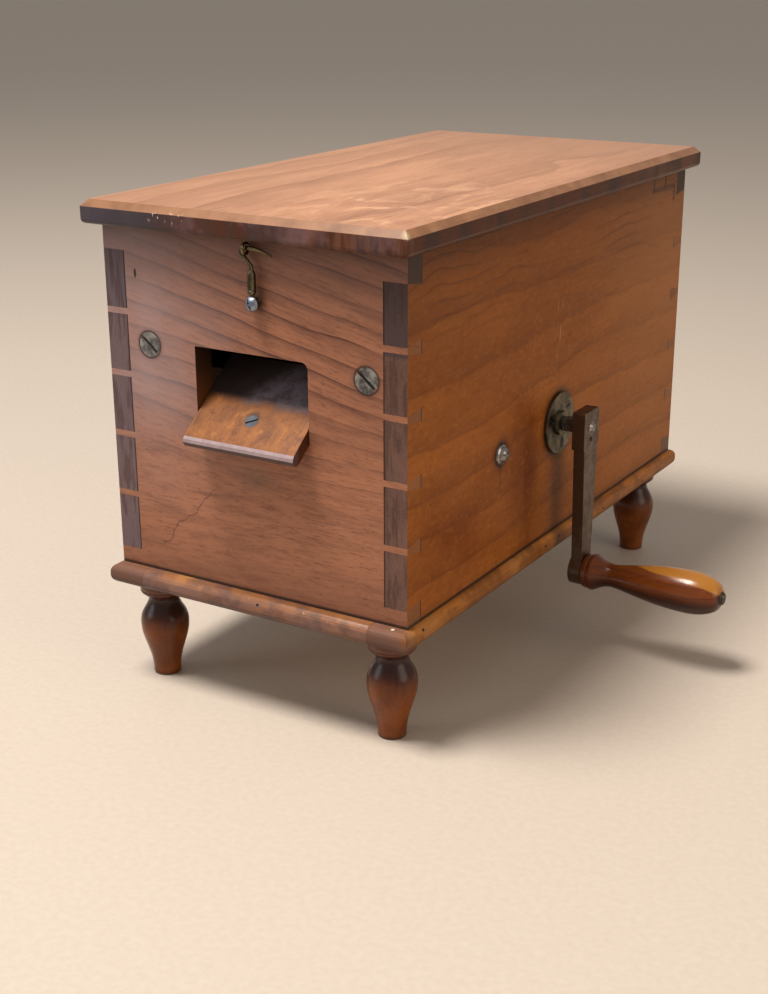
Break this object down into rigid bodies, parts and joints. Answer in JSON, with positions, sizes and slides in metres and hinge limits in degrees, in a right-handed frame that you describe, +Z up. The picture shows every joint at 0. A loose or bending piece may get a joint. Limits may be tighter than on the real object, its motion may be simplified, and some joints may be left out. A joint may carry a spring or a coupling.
{
  "type": "drum carder",
  "caption": "Small hand-cranked drum carder in a dovetailed wooden case with turned feet, hinged hooked lid, sloping feed tongue and side crank with a turned handle.",
  "frame": {"origin": "centre of the whole object's box, handle included, on the plane that the four feet stand on", "axes": "+X across the case towards the crank handle, +Y from the feed tongue at the front to the hinges at the back, +Z up"},
  "size_m": [0.3056, 0.3844, 0.278],
  "materials": {
    "case_wood": "satin polished fruitwood, end boards",
    "side_wood": "satin polished fruitwood, side boards",
    "moulding_wood": "satin polished, worn edges",
    "foot_wood": "glossy dark stained turning",
    "tongue_wood": "worn smooth",
    "lid_wood": "satin polished, light scratches",
    "handle_wood": "glossy turned handle",
    "inner_wood": "bare unfinished wood",
    "steel": "aged grey steel",
    "brass": "tarnished, olive brown",
    "dark_iron": "dark, worn smooth",
    "card_leather": "leather backing of wire card clothing"
  },
  "bodies": {
    "case": {"front_board": "case_wood", "back_board": "case_wood", "left_board": "side_wood", "right_board": "side_wood", "bottom_board": "inner_wood", "front_moulding": "moulding_wood", "back_moulding": "moulding_wood", "left_moulding": "moulding_wood", "right_moulding": "moulding_wood", "front_left_foot": "foot_wood", "front_right_foot": "foot_wood", "back_left_foot": "foot_wood", "back_right_foot": "foot_wood", "feed_tongue": "tongue_wood", "tongue_screw": "steel", "inner_chute": "inner_wood", "chute_bar": "inner_wood", "left_rail": "inner_wood", "right_rail": "inner_wood", "rail_screws": "steel", "flat_bar": "inner_wood", "flat_card_cloth": "card_leather", "flat_screws": "steel", "left_bearing_plate": "brass", "right_bearing_plate": "brass", "plate_screws": "steel", "licker_axle": "steel", "axle_screws": "steel", "cup_washers": "brass", "case_hinge_leaves": "brass", "case_hinge_screws": "steel", "hinge_pins": "steel", "latch_washer": "steel", "latch_screw": "steel"},
    "lid": {"lid_board": "lid_wood", "lid_hinge_leaves": "brass", "lid_hinge_screws": "steel", "latch_eye": "brass"},
    "hook": {"latch_hook": "brass"},
    "crank": {"crank_arm": "dark_iron", "drum_shaft": "dark_iron", "arm_pin": "steel", "drum_barrel": "inner_wood", "left_drum_head": "inner_wood", "right_drum_head": "inner_wood", "drum_card_cloth": "card_leather", "drum_pinion": "brass", "shaft_collars": "brass", "grip_spindle": "steel", "grip_washer": "brass"},
    "handle": {"grip": "handle_wood"},
    "licker": {"licker_roller": "inner_wood", "licker_card_cloth": "card_leather", "licker_gear": "brass"}
  },
  "joints": [
    {"name": "lid_hinge", "type": "hinge", "parent": "case", "child": "lid", "pos_m": [-0.05175, 0.18525, 0.265], "axis": [-1, 0, 0], "range_deg": [0, 105]},
    {"name": "hook_pivot", "type": "hinge", "parent": "case", "child": "hook", "pos_m": [-0.04615, -0.18175, 0.2323], "axis": [0, -1, 0], "range_deg": [0, 180]},
    {"name": "crank_turn", "type": "hinge", "parent": "case", "child": "crank", "pos_m": [-0.05175, -0.00275, 0.1375], "axis": [1, 0, 0], "continuous": true},
    {"name": "grip_spin", "type": "hinge", "parent": "crank", "child": "handle", "pos_m": [0.09825, -0.00275, 0.0475], "axis": [1, 0, 0], "continuous": true},
    {"name": "licker_spin", "type": "hinge", "parent": "case", "child": "licker", "pos_m": [-0.05175, -0.07575, 0.1375], "axis": [1, 0, 0], "continuous": true}
  ],
  "couplings": [
    {"joint": "licker_spin", "follows": "crank_turn", "ratio": -0.40385}
  ]
}
